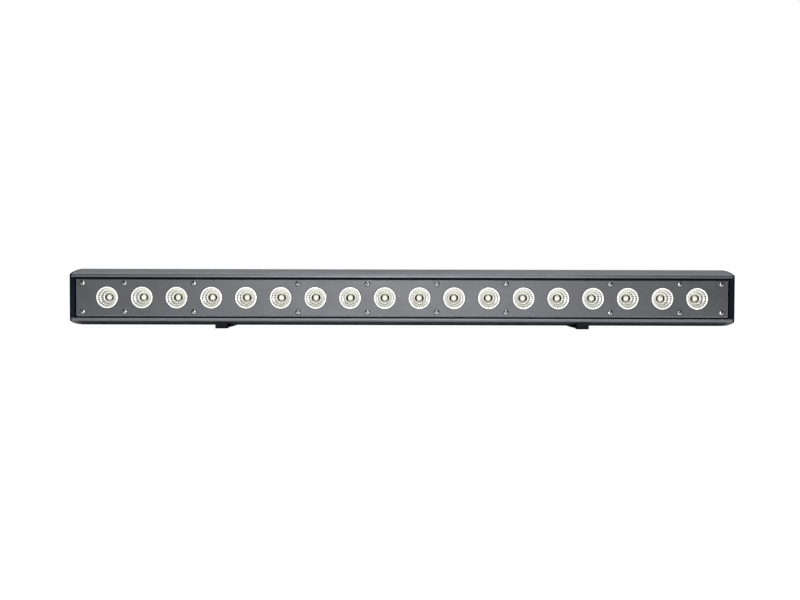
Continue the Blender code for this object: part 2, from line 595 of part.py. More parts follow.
def bracket(name, x):
    """A strap under the body, with a front tongue, that turns up behind into ears round the hinge."""
    half = STRAP_WIDTH / 2
    low = STRAP_TOP - STRAP_THICK
    left, right = x - half, x + half
    corner = STRAP_CORNER
    plan = [(left, STRAP_REAR), *arc((left + corner, STRAP_FRONT + corner), corner, 180, 270, 3),
            (x - TONGUE_HALF, TONGUE_FRONT), (x + TONGUE_HALF, TONGUE_FRONT),
            *arc((right - corner, STRAP_FRONT + corner), corner, 270, 360, 3), (right, STRAP_REAR)]
    strap = prism(plan, "Z", low, STRAP_TOP)
    side = [(PIVOT_D - EAR_RADIUS, low), (PIVOT_D + EAR_RADIUS, low)]
    side += arc((PIVOT_D, PIVOT_H), EAR_RADIUS, 0, 180, 10)
    ears = [prism(side, "X", left, left + EAR_THICK), prism(side, "X", right - EAR_THICK, right)]
    boss = rod(CLAMP_BOSS_RADIUS, (x, CLAMP_HOLE_D, low), "Z", -CLAMP_BOSS_HEIGHT, 0.5, 20)
    cuts = [rod(CLAMP_HOLE_RADIUS, (x, CLAMP_HOLE_D, STRAP_TOP), "Z", -4.0, 2.0, 20),
            rod(BOLT_RADIUS + BOLT_FIT, (x, PIVOT_D, PIVOT_H), "X", -half - 1, half + 1, 12)]
    shape = boolean("DIFFERENCE", boolean("UNION", strap, merged([*ears, boss])), merged(cuts))
    node(name, shape, "black", (x, PIVOT_D, PIVOT_H))


def knob(name, x, side):
    """Six-lobed clamping knob on its bolt; the knob is on the outer side of the bracket."""
    pivot = (x, PIVOT_D, PIVOT_H)
    near = STRAP_WIDTH / 2 + GAP
    shaft = [(0.0, -BOLT_END), (BOLT_RADIUS, -BOLT_END), (BOLT_RADIUS, near), (HUB_RADIUS, near),
             (HUB_RADIUS, near + HUB_THICK), (0.0, near + HUB_THICK)]
    bolt = lathe([(radius, side * along) for radius, along in shaft], pivot, "X", 12)
    swell = KNOB_RADIUS * 0.06
    rim = []
    for step in range(24):
        angle = 2 * pi * step / 24
        radius = KNOB_RADIUS - swell + swell * cos(6 * angle)
        rim.append((PIVOT_D + radius * cos(angle), PIVOT_H + radius * sin(angle)))
    start = near + HUB_THICK - 0.5
    head = prism(rim, "X", x + side * start, x + side * (start + KNOB_THICK))
    node(name, boolean("UNION", bolt, head), "black", pivot)


def nut(name, x, side):
    """Hexagonal nut on the inner side of the bracket."""
    near = STRAP_WIDTH / 2 + GAP
    hexagon = arc((PIVOT_D, PIVOT_H), NUT_RADIUS, 0, 300, 5)
    body = prism(hexagon, "X", x - side * near, x - side * (near + NUT_THICK))
    bore = rod(BOLT_RADIUS + BOLT_FIT, (x, PIVOT_D, PIVOT_H), "X", -20.0, 20.0, 12)
    node(name, boolean("DIFFERENCE", body, bore), "steel")


def foot_block(name, x):
    """Rubber block pushed over the strap's tongue; its sloping top lies under the body's front."""
    bottom = -CENTRE_LINE_Z
    front, rear = BLOCK_FRONT, BLOCK_REAR
    side = [(front, bottom + BLOCK_CHAMFER), (front + BLOCK_CHAMFER, bottom), (rear, bottom),
            (rear, -outer_h(rear) - BLOCK_CLEARANCE), (front, -outer_h(front) - BLOCK_CLEARANCE)]
    block = prism(side, "X", x - BLOCK_HALF, x + BLOCK_HALF)
    half = TONGUE_HALF + GAP
    pocket = box((x - half, x + half), (TONGUE_FRONT - GAP, rear + 1),
                 (STRAP_TOP - STRAP_THICK - GAP, STRAP_TOP + GAP))
    node(name, boolean("DIFFERENCE", block, pocket), "rubber")


def rear_pad(name, x):
    top = STRAP_TOP - STRAP_THICK - GAP
    shape = [(0.0, -PAD_HEIGHT), (PAD_RADIUS - 1, -PAD_HEIGHT), (PAD_RADIUS, 0.0), (0.0, 0.0)]
    node(name, lathe(shape, (x, PAD_D, top), "Z", 16), "rubber")


def brackets():
    for name, side in (("left", -1), ("right", 1)):
        x = side * BRACKET_X
        hinge_base(f"hinge_base_{name}", x)
        bracket(f"bracket_{name}", x)
        knob(f"bracket_knob_{name}", x, side)
        nut(f"bracket_nut_{name}", x, side)
        foot_block(f"foot_pad_{name}_front", x)
        rear_pad(f"foot_pad_{name}_rear", x)


def build():
    for obj in list(bpy.data.objects):
        bpy.data.objects.remove(obj)
    housing()
    end_caps()
    front_panel()
    gasket()
    screw_strips()
    lenses()
    trays_and_boards()
    electronics()
    rear_cover()
    power_inlet()
    power_outlet()
    data_sockets()
    menu()
    safety_eye()
    brackets()


build()
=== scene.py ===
"""Looks of the LED strip batten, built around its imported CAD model.

Bar coordinates, in millimetres, are (x, d, h): x runs along the bar, d is the depth behind the
front edge of the lips, and h is the height over the bar's centre line. The lenses face -Y.
"""
from math import cos, pi, radians, sin

import bmesh
import bpy
from mathutils import Matrix, Vector

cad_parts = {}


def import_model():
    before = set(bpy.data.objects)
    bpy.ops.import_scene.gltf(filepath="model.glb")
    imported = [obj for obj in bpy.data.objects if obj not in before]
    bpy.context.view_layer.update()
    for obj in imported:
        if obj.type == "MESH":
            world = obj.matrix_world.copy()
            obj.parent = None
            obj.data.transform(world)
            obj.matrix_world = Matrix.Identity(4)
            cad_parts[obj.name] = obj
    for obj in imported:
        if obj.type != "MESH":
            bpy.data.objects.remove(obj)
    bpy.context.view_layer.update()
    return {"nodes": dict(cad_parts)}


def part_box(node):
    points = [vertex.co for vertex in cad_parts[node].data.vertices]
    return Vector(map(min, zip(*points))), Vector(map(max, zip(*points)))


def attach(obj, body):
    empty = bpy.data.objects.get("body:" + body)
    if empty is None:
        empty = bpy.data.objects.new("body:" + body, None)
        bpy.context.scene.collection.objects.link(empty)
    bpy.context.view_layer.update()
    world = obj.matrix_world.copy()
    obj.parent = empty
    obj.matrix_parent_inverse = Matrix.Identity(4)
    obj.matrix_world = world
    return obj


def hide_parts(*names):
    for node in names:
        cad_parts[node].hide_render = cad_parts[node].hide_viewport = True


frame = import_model()

MM = 0.001
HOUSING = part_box("housing")
FRONT_Y = HOUSING[0].y
AXIS_Z = (HOUSING[0].z + HOUSING[1].z) / 2

# Body: its ends, and the channel behind the lips, whose inside is painted dark as shade
HALF_LENGTH = 500.0
LIP_REAR, CHANNEL_FLOOR, CHANNEL_HALF = 2.25, 30.9, 35.0
SHARP_ANGLE = radians(32)

# Front plate
PLATE_FRONT, PLATE_REAR = 2.0, 5.0
PLATE_HALF_LENGTH, PLATE_HALF_HEIGHT = 491.2, 28.5
SCREW_ROW, END_SCREW_X, TAPPED_BAR_END = 21.5, 481.5, 486.0
SCREW_AFTER_LENS = [1, 3, 6, 8, 10, 12, 15, 17]
LENSES, PITCH, LENS_RADIUS = 18, 52.3, 16.2

# Lens optic: two steep risers whose facets are painted dark as shade and reflection, between
# flatter treads, round a moat and a core
CORE_RADIUS, MOAT_RADIUS, FLANGE_RADIUS = 4.1, 6.7, 18.0
INNER_RISER, OUTER_RISER = (9.0, 10.5), (12.7, 14.2)
INNER_FLUTES, OUTER_FLUTES, OPTIC_STEPS = 18, 24, 216

# Rear cover; its sockets' flanges stand a little proud of its face
FACE = 76.1
MAINS_TOP, DATA_TOP = FACE + 2.2, FACE + 2.0
OUTLET_X, INLET_X = -190.0, -142.0
DISPLAY_X = -25.0
BUTTON_XS = [20.0, 36.0, 52.0, 68.0]
DMX_IN_X, DMX_OUT_X = 118.0, 158.0
EYE_X, EYE_H = 0.0, 30.5

# Brackets
BRACKET_X = 273.0
PIVOT_D, PIVOT_H = 88.5, -33.0
STRAP_TOP, STRAP_THICK, STRAP_HALF = -43.9, 1.5, 10.0
STRAP_FRONT, STRAP_REAR = 20.3, 96.9
TONGUE_FRONT, TONGUE_HALF = 7.4, 6.0
CLAMP_D, CLAMP_HOLE, BOLT_HOLE = 58.0, 5.5, 2.75

AXES = {
    "X": Matrix.Rotation(pi / 2, 4, "Y"),
    "Y": Matrix.Rotation(-pi / 2, 4, "X"),
    "Z": Matrix.Identity(4),
}


# ---------------------------------------------------------------- mesh helpers

def box(xs, ds, hs):
    bm = bmesh.new()
    bmesh.ops.create_cube(bm, size=1.0)
    bmesh.ops.scale(bm, verts=bm.verts, vec=(xs[1] - xs[0], ds[1] - ds[0], hs[1] - hs[0]))
    middle = Vector((xs[0] + xs[1], ds[0] + ds[1], hs[0] + hs[1])) / 2
    bmesh.ops.translate(bm, verts=bm.verts, vec=middle)
    return bm


def prism(outline, axis, start, end):
    """Extrude an outline along an axis; its points are the two other coordinates, in order."""
    place = {
        "X": lambda a, b: (start, a, b),
        "Y": lambda a, b: (a, start, b),
        "Z": lambda a, b: (a, b, start),
    }[axis]
    way = {"X": Vector((1, 0, 0)), "Y": Vector((0, 1, 0)), "Z": Vector((0, 0, 1))}[axis]
    bm = bmesh.new()
    face = bm.faces.new([bm.verts.new(place(a, b)) for a, b in outline])
    made = bmesh.ops.extrude_face_region(bm, geom=[face])
    moved = [item for item in made["geom"] if isinstance(item, bmesh.types.BMVert)]
    bmesh.ops.translate(bm, verts=moved, vec=way * (end - start))
    bmesh.ops.recalc_face_normals(bm, faces=bm.faces)
    return bm


def lathe(profile, centre, axis, steps):
    """Spin (radius, distance along the axis) points round an axis through centre."""
    bm = bmesh.new()
    verts = [bm.verts.new((radius, 0.0, along)) for radius, along in profile]
    edges = [bm.edges.new(pair) for pair in zip(verts, verts[1:])]
    if profile[0][0] > 0.0:
        edges.append(bm.edges.new((verts[-1], verts[0])))
    bmesh.ops.spin(bm, geom=verts + edges, cent=(0, 0, 0), axis=(0, 0, 1), angle=2 * pi,
                   steps=steps)
    bmesh.ops.remove_doubles(bm, verts=bm.verts, dist=1e-4)
    bmesh.ops.transform(bm, verts=bm.verts, matrix=Matrix.Translation(centre) @ AXES[axis])
    bmesh.ops.recalc_face_normals(bm, faces=bm.faces)
    return bm


def rod(radius, centre, axis, start, end, steps=48):
    return lathe([(0.0, start), (radius, start), (radius, end), (0.0, end)], centre, axis, steps)


def arc(middle, radius, start, end, steps):
    angles = [radians(start + (end - start) * i / steps) for i in range(steps + 1)]
    return [(middle[0] + radius * cos(a), middle[1] + radius * sin(a)) for a in angles]


def rounded(middle, half_a, half_b, radius, steps=6):
    points = []
    for sign_a, sign_b, start in [(1, 1, 0), (-1, 1, 90), (-1, -1, 180), (1, -1, 270)]:
        corner = (middle[0] + sign_a * (half_a - radius), middle[1] + sign_b * (half_b - radius))
        points += arc(corner, radius, start, start + 90, steps)
    return points


def merged(parts):
    """Put several meshes into one."""
    bm = bmesh.new()
    for part in parts:
        mesh = bpy.data.meshes.new("scratch")
        part.to_mesh(mesh)
        part.free()
        bm.from_mesh(mesh)
        bpy.data.meshes.remove(mesh)
    return bm


def boolean(operation, body, *tools):
    """The body after a DIFFERENCE or UNION with each tool in turn."""
    scratch = []
    for bm in (body, *tools):
        mesh = bpy.data.meshes.new("scratch")
        bm.to_mesh(mesh)
        bm.free()
        obj = bpy.data.objects.new("scratch", mesh)
        bpy.context.collection.objects.link(obj)
        scratch.append(obj)
    for tool in scratch[1:]:
        step = scratch[0].modifiers.new("step", "BOOLEAN")
        step.operation = operation
        step.object = tool
    result = bmesh.new()
    result.from_object(scratch[0], bpy.context.evaluated_depsgraph_get())
    for obj in scratch:
        mesh = obj.data
        bpy.data.objects.remove(obj)
        bpy.data.meshes.remove(mesh)
    return result


def cad_mesh(node):
    """A CAD node's own shape in bar coordinates, with its triangles merged into flat faces."""
    bm = bmesh.new()
    bm.from_mesh(frame["nodes"][node].data)
    bmesh.ops.remove_doubles(bm, verts=bm.verts, dist=1e-6)
    bmesh.ops.dissolve_limit(bm, angle_limit=radians(0.5), verts=bm.verts, edges=bm.edges)
    bmesh.ops.translate(bm, verts=bm.verts, vec=(0.0, -FRONT_Y, -AXIS_Z))
    bmesh.ops.scale(bm, verts=bm.verts, vec=(1 / MM, 1 / MM, 1 / MM))
    return bm


def world(point):
    """Bar coordinates in millimetres as world coordinates in metres."""
    return Vector((point[0] * MM, FRONT_Y + point[1] * MM, AXIS_Z + point[2] * MM))


def piece(name, bm, look, body="bar", nodes=(), slot=None, origin=(0, 0, 0), bevel=0.0):
    """Turn a mesh in bar coordinates into a named piece that rides on a CAD body."""
    bmesh.ops.translate(bm, verts=bm.verts, vec=-Vector(origin))
    bmesh.ops.scale(bm, verts=bm.verts, vec=(MM, MM, MM))
    mesh = bpy.data.meshes.new(name)
    bm.to_mesh(mesh)
    bm.free()
    return place(name, mesh, look, body, nodes, slot, origin, bevel)


def place(name, mesh, look, body="bar", nodes=(), slot=None, origin=(0, 0, 0), bevel=0.0):
    """Link a finished mesh as a piece; bevel rounds its sharp edges, in millimetres."""
    mesh.shade_smooth()
    if not mesh.materials:
        for made in look if isinstance(look, list) else [look]:
            mesh.materials.append(made)
    obj = bpy.data.objects.new(name, mesh)
    obj.location = world(origin)
    bpy.context.collection.objects.link(obj)
    if bevel:
        rounding = obj.modifiers.new("rounding", "BEVEL")
        rounding.width = bevel * MM
        rounding.segments = 2
        rounding.limit_method = "ANGLE"
        rounding.angle_limit = SHARP_ANGLE
        rounding.harden_normals = True
    mesh.set_sharp_from_angle(angle=SHARP_ANGLE)
    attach(obj, body)
    if nodes:
        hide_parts(*nodes)
    return obj


# ---------------------------------------------------------------- materials

class Nodes:
    """Short calls for building one material's node tree."""

    def __init__(self, name):
        self.material = bpy.data.materials.new(name)
        self.material.use_nodes = True
        self.tree = self.material.node_tree
        self.shader = self.tree.nodes["Principled BSDF"]

    def add(self, kind, inputs=(), **settings):
        node = self.tree.nodes.new(kind)
        for key, value in settings.items():
            setattr(node, key, value)
        for socket, value in dict(inputs).items():
            if isinstance(value, bpy.types.NodeSocket):
                self.tree.links.new(value, node.inputs[socket])
            else:
                node.inputs[socket].default_value = value
        return node

    def math(self, operation, *values, clamp=False):
        return self.add("ShaderNodeMath", dict(enumerate(values)), operation=operation,
                        use_clamp=clamp).outputs[0]

    def noise(self, scale, stretch=(1, 1, 1), detail=3.0, rough=0.6):
        """Noise in the piece's own coordinates, about 0.5; scale counts features per metre."""
        where = self.add("ShaderNodeTexCoord").outputs["Object"]
        size = self.add("ShaderNodeMapping", {"Vector": where, "Scale": stretch}).outputs[0]
        made = self.add("ShaderNodeTexNoise", {"Vector": size, "Scale": scale, "Detail": detail,
                                               "Roughness": rough})
        return made.outputs["Fac"]

    def spread(self, value, low, high):
        """Map the middle of a noise value, 0.3 to 0.7, to low to high."""
        return self.add("ShaderNodeMapRange", {"Value": value, "From Min": 0.3, "From Max": 0.7,
                                               "To Min": low, "To Max": high}).outputs[0]

    def mix(self, factor, first, second, blend="MIX"):
        node = self.tree.nodes.new("ShaderNodeMix")
        node.data_type = "RGBA"
        node.blend_type = blend
        for socket, value in ((0, factor), (6, first), (7, second)):
            if isinstance(value, bpy.types.NodeSocket):
                self.tree.links.new(value, node.inputs[socket])
            elif socket:
                node.inputs[socket].default_value = (*value, 1.0)
            else:
                node.inputs[socket].default_value = value
        return node.outputs[2]

    def set(self, **values):
        """Set or link the shader's sockets, named with _ for a space."""
        for key, value in values.items():
            socket = self.shader.inputs[key.replace("_", " ")]
            if isinstance(value, bpy.types.NodeSocket):
                self.tree.links.new(value, socket)
            elif isinstance(value, tuple) and len(value) == 3 and socket.type == "RGBA":
                socket.default_value = (*value, 1.0)
            else:
                socket.default_value = value
        return self

    def bump(self, height, distance, strength=1.0):
        """Raise the surface by a height, 0 to 1, times a distance in millimetres."""
        made = self.add("ShaderNodeBump", {"Height": height, "Strength": strength,
                                           "Distance": distance * MM})
        self.tree.links.new(made.outputs[0], self.shader.inputs["Normal"])


def shade(colour, factor):
    return tuple(channel * factor for channel in colour)


def grained(name, colour, rough, metallic=0.0, scale=2500.0, stretch=(1, 1, 1), grain=0.02,
            uneven=0.12, coat=0.0, specular=0.5):
    """A painted, moulded or metal surface: fine grain, slow unevenness and faint handling marks."""
    n = Nodes(name)
    fine = n.noise(scale, stretch)
    slow = n.noise(14.0, detail=4.0)
    marks = n.noise(90.0, (0.25, 1, 1), detail=6.0)
    tone = n.mix(n.spread(slow, 0.0, 1.0), shade(colour, 1 - uneven), shade(colour, 1 + uneven))
    tone = n.mix(n.spread(fine, 0.0, 0.25), tone, shade(colour, 1.35))
    gloss = n.math("ADD", n.spread(slow, rough * 0.92, rough * 1.08), n.spread(marks, -0.03, 0.04))
    n.set(Base_Color=tone, Roughness=gloss, Metallic=metallic, Coat_Weight=coat,
          Coat_Roughness=0.15, Specular_IOR_Level=specular)
    n.bump(fine, grain)
    return n.material


def lens_look():
    """Clear moulded optic, painted opaque: its rings paint the light seen in it, a white rim,
    yellowish treads and core; its risers' dark facets and its moat are painted shade and
    reflection.
    """
    n = Nodes("lens_optic")
    where = n.add("ShaderNodeTexCoord").outputs["Object"]
    flat = n.add("ShaderNodeVectorMath", {0: where, 1: (1.0, 0.0, 1.0)}, operation="MULTIPLY")
    away = n.add("ShaderNodeVectorMath", {0: flat.outputs[0]}, operation="LENGTH").outputs["Value"]
    split = n.add("ShaderNodeSeparateXYZ", {0: where})
    turn = n.math("ARCTAN2", split.outputs["Z"], split.outputs["X"])
    rings = n.add("ShaderNodeValToRGB", {"Fac": n.math("DIVIDE", away, FLANGE_RADIUS * MM)})
    # The rings' colours paint the light seen in the clear optic: a white rim, pale yellowish treads
    # and core, and greyer, bluish bands for its reflections.
    stops = [
        (0.0, (0.77, 0.78, 0.64)), (2.4, (0.84, 0.85, 0.73)), (3.8, (0.93, 0.93, 0.91)),
        (6.6, (0.74, 0.73, 0.70)), (7.2, (0.82, 0.81, 0.77)), (8.6, (0.74, 0.74, 0.68)),
        (9.2, (0.72, 0.73, 0.79)), (10.3, (0.72, 0.73, 0.79)), (10.7, (0.66, 0.66, 0.60)),
        (12.7, (0.67, 0.67, 0.61)), (13.0, (0.74, 0.75, 0.80)), (14.0, (0.78, 0.79, 0.82)),
        (14.4, (0.97, 0.97, 0.97)),
    ]
    ramp = rings.color_ramp
    while len(ramp.elements) < len(stops):
        ramp.elements.new(1.0)
    for element, (at, colour) in zip(ramp.elements, stops):
        element.position = at / FLANGE_RADIUS
        element.color = (*colour, 1.0)

    def between(inner, outer, soft):
        """1 between two radii, with soft ends, all in millimetres; 0 elsewhere."""
        rise = n.add("ShaderNodeMapRange", {"Value": away, "From Min": (inner - soft) * MM,
                                            "From Max": (inner + soft) * MM})
        fall = n.add("ShaderNodeMapRange", {"Value": away, "From Min": (outer + soft) * MM,
                                            "From Max": (outer - soft) * MM})
        return n.math("MULTIPLY", rise.outputs[0], fall.outputs[0])

    def wave(count, swing, middle, clamp=False):
        """A cosine that goes round the axis count times, swinging about a middle."""
        cosine = n.math("COSINE", n.math("MULTIPLY", turn, float(count)))
        return n.math("MULTIPLY_ADD", cosine, swing, middle, clamp=clamp)

    def facets(riser, flutes):
        dash = wave(flutes, 3.0, 1.0, clamp=True)
        return n.math("MULTIPLY", dash, between(*riser, 0.15))

    # Painted shade and reflection: dark dashes on the risers' facets, and faint darker ticks on the
    # tread between them.
    painted_facet_shade = n.math("MAXIMUM", facets(INNER_RISER, INNER_FLUTES), facets(OUTER_RISER, OUTER_FLUTES))
    painted_facet_shade = n.math("MULTIPLY", painted_facet_shade, n.spread(n.noise(260.0), 0.75, 1.0))
    painted_flute_shade = n.math("MULTIPLY", wave(OUTER_FLUTES, 0.5, 0.5), between(10.8, 12.5, 0.4))
    painted_flute_shade = n.math("MULTIPLY", painted_flute_shade, 0.12)
    painted_facet_shade = n.math("MAXIMUM", painted_facet_shade, painted_flute_shade)
    # Painted shade and reflection in the moat: near-black, darkest at its left and right, lighter
    # at top and bottom, as the light comes from above and below.
    moat = n.math("MULTIPLY", between(CORE_RADIUS, MOAT_RADIUS, 0.15), wave(2, 0.41, 0.57))
    tint = n.mix(n.spread(n.noise(120.0), 0.0, 1.0), (1.0, 0.95, 0.97), (0.95, 1.0, 0.86))
    tone = n.mix(moat, rings.outputs[0], (0.012, 0.012, 0.010))
    tone = n.mix(painted_facet_shade, tone, (0.015, 0.015, 0.022))
    tone = n.mix(1.0, tone, tint, "MULTIPLY")
    n.set(Base_Color=tone, Roughness=0.12, Specular_IOR_Level=0.5, Coat_Weight=0.5,
          Coat_Roughness=0.04)
    n.bump(n.noise(900.0), 0.004)
    return n.material


def scratched_paint(name, colour, rough, metallic):
    """Satin metallic paint with slow smudges and a few short, fine, pale scratches."""
    n = Nodes(name)
    fine = n.noise(3200.0)
    smudge = n.noise(22.0, detail=5.0)
    tone = n.mix(n.spread(smudge, 0.0, 1.0), shade(colour, 0.9), shade(colour, 1.1))
    tone = n.mix(n.spread(fine, 0.0, 0.2), tone, shade(colour, 1.35))
    for turn, scale in ((0.9, 55.0), (-0.7, 65.0)):
        where = n.add("ShaderNodeTexCoord").outputs["Object"]
        tipped = n.add("ShaderNodeMapping", {"Vector": where, "Rotation": (0.0, turn, 0.0)})
        drawn = n.add("ShaderNodeMapping", {"Vector": tipped.outputs[0], "Scale": (1.0, 1.0, 14.0)})
        streak = n.add("ShaderNodeTexNoise", {"Vector": drawn.outputs[0], "Scale": scale,
                                              "Detail": 1.0})
        mark = n.add("ShaderNodeMapRange", {"Value": streak.outputs["Fac"], "From Min": 0.735,
                                            "From Max": 0.76, "To Max": 0.5})
        tone = n.mix(mark.outputs[0], tone, shade(colour, 2.2))
    gloss = n.spread(smudge, rough * 0.9, rough * 1.12)
    n.set(Base_Color=tone, Roughness=gloss, Metallic=metallic)
    n.bump(fine, 0.012)
    return n.material


ANODISED = grained("anodised_extrusion", (0.10, 0.104, 0.116), 0.40, 0.8, 700.0, (0.02, 1, 1),
                   0.012)
PANEL = scratched_paint("panel_paint", (0.076, 0.078, 0.083), 0.42, 0.9)
# Painted highlight: a lighter colour on the plate's outer chamfers, as if they catch the light.
PANEL_EDGE_HIGHLIGHT = grained("panel_edge_highlight", (0.20, 0.21, 0.235), 0.5, 0.3, 1200.0, (0.05, 1, 1), 0.01)
# Painted shade: near-black on the walls of the lens holes and the screw countersinks.
HOLE_SHADE = grained("lens_hole_shade", (0.018, 0.018, 0.02), 0.5, 0.4, 2600.0, grain=0.006)
# Painted shade: near-black for the inside of the front channel, where little light reaches.
CHANNEL_SHADE = grained("channel_shadow", (0.004, 0.004, 0.007), 0.7, 0.0, 900.0, (0.05, 1, 1), 0.01,
                  specular=0.15)
END_BLACK = grained("end_cap_black", (0.003, 0.005, 0.011), 0.5, 0.0, 2600.0, grain=0.01,
                    specular=0.05)
SCREW = grained("screw_steel", (0.36, 0.36, 0.35), 0.15, 1.0, 1800.0, grain=0.003, uneven=0.05)
# Painted shade: near-black for the inside of the steel screws' cross recesses.
RECESS_SHADE = grained("screw_recess_shade", (0.02, 0.02, 0.02), 0.6, 0.3, 1800.0, grain=0.004)
BLACK_SCREW = grained("screw_black", (0.03, 0.03, 0.032), 0.35, 0.6, 1800.0, grain=0.004)
RUBBER = grained("rubber", (0.007, 0.007, 0.009), 0.82, 0.0, 1500.0, grain=0.03, specular=0.15)
TRAY = grained("tray_plastic", (0.015, 0.015, 0.016), 0.6, 0.0, 2200.0, grain=0.01)
BOARD_WHITE = grained("led_board_white", (0.78, 0.78, 0.76), 0.4, 0.0, 1200.0, grain=0.006,
                      uneven=0.04)
SUPPLY = grained("supply_case", (0.5, 0.51, 0.52), 0.4, 0.9, 500.0, (0.05, 1, 1), 0.01)
BOARD_GREEN = grained("circuit_board", (0.02, 0.15, 0.06), 0.35, 0.0, 1300.0, grain=0.01)
CABLE = grained("cable_jacket", (0.28, 0.02, 0.02), 0.5, 0.0, 2000.0, grain=0.01)
NYLON = grained("socket_nylon", (0.014, 0.014, 0.015), 0.5, 0.0, 3000.0, grain=0.012)
ZINC = grained("socket_zinc", (0.30, 0.31, 0.32), 0.34, 0.9, 1600.0, grain=0.008)
PIN = grained("contact_brass", (0.80, 0.62, 0.30), 0.25, 1.0, 1500.0, grain=0.003, uneven=0.05)
WINDOW = grained("display_glazing", (0.012, 0.016, 0.022), 0.08, 0.0, 400.0, grain=0.001, coat=1.0)
READOUT = grained("display_readout", (0.16, 0.22, 0.2), 0.3, 0.0, 800.0, grain=0.002)
POWDER = grained("bracket_powder_coat", (0.006, 0.006, 0.009), 0.5, 0.0, 1400.0, grain=0.02,
                 specular=0.15)
KNOB = grained("knob_nylon", (0.013, 0.013, 0.014), 0.46, 0.0, 2600.0, grain=0.015)
OPTIC = lens_look()


# ---------------------------------------------------------------- extruded body

def body_extrusion():
    """The extrusion with softened edges; the inside of its front channel is painted near-black as
    shade.
    """
    bm = cad_mesh("housing")
    # Walls inside the front channel get the painted shade.
    for face in bm.faces:
        centre = face.calc_center_median()
        inside = LIP_REAR < centre.y < CHANNEL_FLOOR and abs(centre.z) < CHANNEL_HALF
        walls = abs(face.normal.x) < 0.5
        face.material_index = 1 if inside and walls else 0
    piece("body_extrusion", bm, [ANODISED, CHANNEL_SHADE], nodes=["housing"], slot="housing_finish",
          bevel=0.22)


def end_caps():
    for side, name in ((-1, "left"), (1, "right")):
        cap = cad_mesh(f"end_cap_{name}")
        outer = side * HALF_LENGTH
        sinks, heads = [], []
        for d, h in ((9.0, 33.0), (9.0, -33.0), (70.0, 38.5), (70.0, -38.5), (38.0, 0.0)):
            sinks.append(rod(3.3, (outer, d, h), "X", -0.5, 0.5))
            heads.append(screw_head((outer - side * 0.45, d, h), "X", side, 3.1, 20 * d))
        cap = boolean("DIFFERENCE", cap, merged(sinks))
        piece(f"end_plate_{name}", cap, END_BLACK, nodes=[f"end_cap_{name}"],
              slot="end_cap_finish", bevel=0.25)
        piece(f"end_plate_screws_{name}", merged(heads), BLACK_SCREW, slot="end_cap_finish")


def screw_head(centre, axis, side, radius, turn):
    """A domed screw head with a cross recess; side is the way it faces along the axis."""
    dome = [(0.0, 0.35), (radius * 0.6, 0.3), (radius * 0.88, 0.12), (radius, -0.15),
            (radius, -0.6), (0.0, -0.6)]
    head = lathe([(r, side * a) for r, a in dome], (0, 0, 0), axis, 32)
    arm, wide = radius * 0.62, radius * 0.17
    if axis == "X":
        ways = [((-0.5, 0.5), (-arm, arm), (-wide, wide)),
                ((-0.5, 0.5), (-wide, wide), (-arm, arm))]
    else:
        ways = [((-arm, arm), (-0.5, 0.5), (-wide, wide)),
                ((-wide, wide), (-0.5, 0.5), (-arm, arm))]
    arms = [box(*way) for way in ways]
    lift = Vector((side * 0.35, 0, 0)) if axis == "X" else Vector((0, side * 0.35, 0))
    for part in arms:
        bmesh.ops.translate(part, verts=part.verts, vec=lift)
    head = boolean("DIFFERENCE", head, *arms)
    spin = Matrix.Rotation(radians(turn), 4, axis)
    bmesh.ops.transform(head, verts=head.verts, matrix=Matrix.Translation(centre) @ spin)
    return head


# ---------------------------------------------------------------- front plate and optics

def lens_x(number):
    return (number - (LENSES + 1) / 2) * PITCH


def screw_xs():
    return [-END_SCREW_X, *[lens_x(number + 0.5) for number in SCREW_AFTER_LENS], END_SCREW_X]


def outer_edge(point):
    return PLATE_HALF_LENGTH - abs(point.x) < 1.7 or PLATE_HALF_HEIGHT - abs(point.z) < 1.7


def front_plate():
    """The recessed plate, with a broken edge round each lens and a countersink for each screw."""
    plate = box((-PLATE_HALF_LENGTH, PLATE_HALF_LENGTH), (PLATE_FRONT, PLATE_REAR),
                (-PLATE_HALF_HEIGHT, PLATE_HALF_HEIGHT))
    rim = [edge for edge in plate.edges if all(v.co.y < PLATE_FRONT + 0.1 for v in edge.verts)]
    bmesh.ops.bevel(plate, geom=rim, offset=1.6, segments=1, affect="EDGES")
    hole = LENS_RADIUS + 0.3
    ring = [(0.0, 1.0), (hole + 1.4, 1.0), (hole, 2.45), (hole, 6.0), (0.0, 6.0)]
    sink = [(0.0, 1.5), (4.75, 1.5), (2.35, 4.1), (2.35, 5.5), (0.0, 5.5)]
    cuts = [lathe(ring, (lens_x(n), 0, 0), "Y", 96) for n in range(1, LENSES + 1)]
    cuts += [lathe(sink, (x, 0, h), "Y", 40) for x in screw_xs() for h in (-SCREW_ROW, SCREW_ROW)]
    plate = boolean("DIFFERENCE", plate, merged(cuts))
    for face in plate.faces:
        centre = face.calc_center_median()
        if abs(face.normal.y) > 0.98:
            continue
        # Lens-hole walls and screw countersinks get the painted shade.
        near_lens = abs(centre.z) < hole + 1.5 and abs(centre.x) < lens_x(LENSES) + hole + 1.5
        near_screw = abs(abs(centre.z) - SCREW_ROW) < 4.9 and abs(centre.x) < END_SCREW_X + 4.9
        # The outer chamfers, except the top one, get the painted highlight; the top chamfer keeps
        # the plate's colour, as shaded from above.
        sloped = face.normal.y < -0.3 and face.normal.z < 0.3
        outer = sloped and outer_edge(centre)
        face.material_index = 2 if near_lens or near_screw else 1 if outer else 0
    piece("front_plate", plate, [PANEL, PANEL_EDGE_HIGHLIGHT, HOLE_SHADE], nodes=["front_panel"],
          slot="panel_finish", bevel=0.12)


